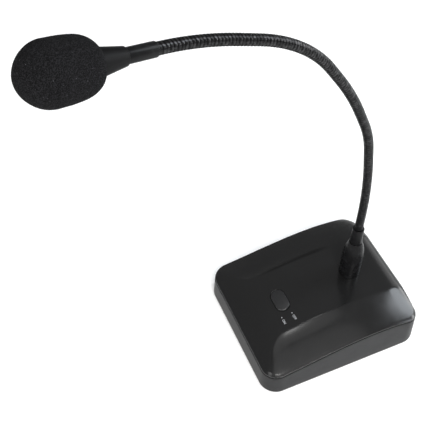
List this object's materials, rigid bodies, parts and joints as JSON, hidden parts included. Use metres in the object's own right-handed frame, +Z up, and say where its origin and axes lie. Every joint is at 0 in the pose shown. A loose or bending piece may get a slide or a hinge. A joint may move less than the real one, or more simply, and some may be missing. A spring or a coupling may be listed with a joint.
{
  "type": "conference microphone",
  "caption": "Desk conference microphone with a weighted base, a push button, a bending gooseneck and a foam windscreen.",
  "frame": {"origin": "on the desk under the middle of the base", "axes": "+X to the speaker's right, +Y to the rear of the base, +Z up"},
  "size_m": [0.14, 0.3209, 0.4457],
  "materials": {
    "case_plastic": "fine moulded texture, satin",
    "pad_rubber": "matt",
    "ballast_steel": "zinc plated",
    "screw_steel": "zinc plated",
    "board_laminate": "green solder mask",
    "switch_plastic": "moulded",
    "plunger_plastic": "moulded",
    "button_plastic": "smooth satin",
    "socket_plastic": "moulded",
    "lead_sheath": "matt",
    "gloss_plastic": "polished",
    "nut_brass": "turned",
    "gloss_metal": "gloss black",
    "neck_steel": "black plated, ribbed",
    "housing_plastic": "satin",
    "gasket_rubber": "matt",
    "capsule_metal": "satin",
    "foam": "open cell foam"
  },
  "bodies": {
    "base": {"bottom_case": "case_plastic", "top_cover": "case_plastic", "non_slip_pad": "pad_rubber", "ballast_plate": "ballast_steel", "ballast_screws": "screw_steel", "case_screws": "screw_steel", "circuit_board": "board_laminate", "board_screws": "screw_steel", "switch_body": "switch_plastic", "output_socket": "socket_plastic", "socket_nut": "screw_steel", "neck_lead": "lead_sheath", "socket_lead": "lead_sheath", "neck_holder": "gloss_plastic", "holder_washer": "screw_steel", "holder_nut": "nut_brass", "lower_collar": "gloss_metal", "neck_root": "neck_steel"},
    "button": {"button_cap": "button_plastic", "switch_plunger": "plunger_plastic"},
    "neck_1": {"neck_section_1": "neck_steel"},
    "neck_2": {"neck_section_2": "neck_steel"},
    "neck_3": {"neck_section_3": "neck_steel"},
    "neck_4": {"neck_section_4": "neck_steel"},
    "head": {"neck_section_5": "neck_steel", "upper_ferrule": "gloss_metal", "mic_housing": "housing_plastic", "capsule_gasket": "gasket_rubber", "capsule": "capsule_metal", "grille_cap": "capsule_metal", "windscreen": "foam"}
  },
  "joints": [
    {"name": "button_press", "type": "slide", "parent": "base", "child": "button", "axis": [0, 0, -1], "range_m": [0, 0.002], "stiffness_N_per_m": 500, "springref_m": -0.002},
    {"name": "neck_lean", "type": "hinge", "parent": "base", "child": "neck_1", "pos_m": [0, 0.0374, 0.12746], "axis": [0.1305, -0.9914, 0], "range_deg": [-25, 25]},
    {"name": "neck_bend_1", "type": "hinge", "parent": "neck_1", "child": "neck_2", "pos_m": [0.00097, 0.03002, 0.21702], "axis": [0.9914, 0.1305, 0], "range_deg": [-25, 25]},
    {"name": "neck_bend_2", "type": "hinge", "parent": "neck_2", "child": "neck_3", "pos_m": [0.00301, 0.01452, 0.26738], "axis": [0.9914, 0.1305, 0], "range_deg": [-25, 25]},
    {"name": "neck_bend_3", "type": "hinge", "parent": "neck_3", "child": "neck_4", "pos_m": [0.00741, -0.01888, 0.32632], "axis": [0.9914, 0.1305, 0], "range_deg": [-25, 25]},
    {"name": "neck_bend_4", "type": "hinge", "parent": "neck_4", "child": "head", "pos_m": [0.01684, -0.09052, 0.38536], "axis": [0.9914, 0.1305, 0], "range_deg": [-25, 25]}
  ]
}
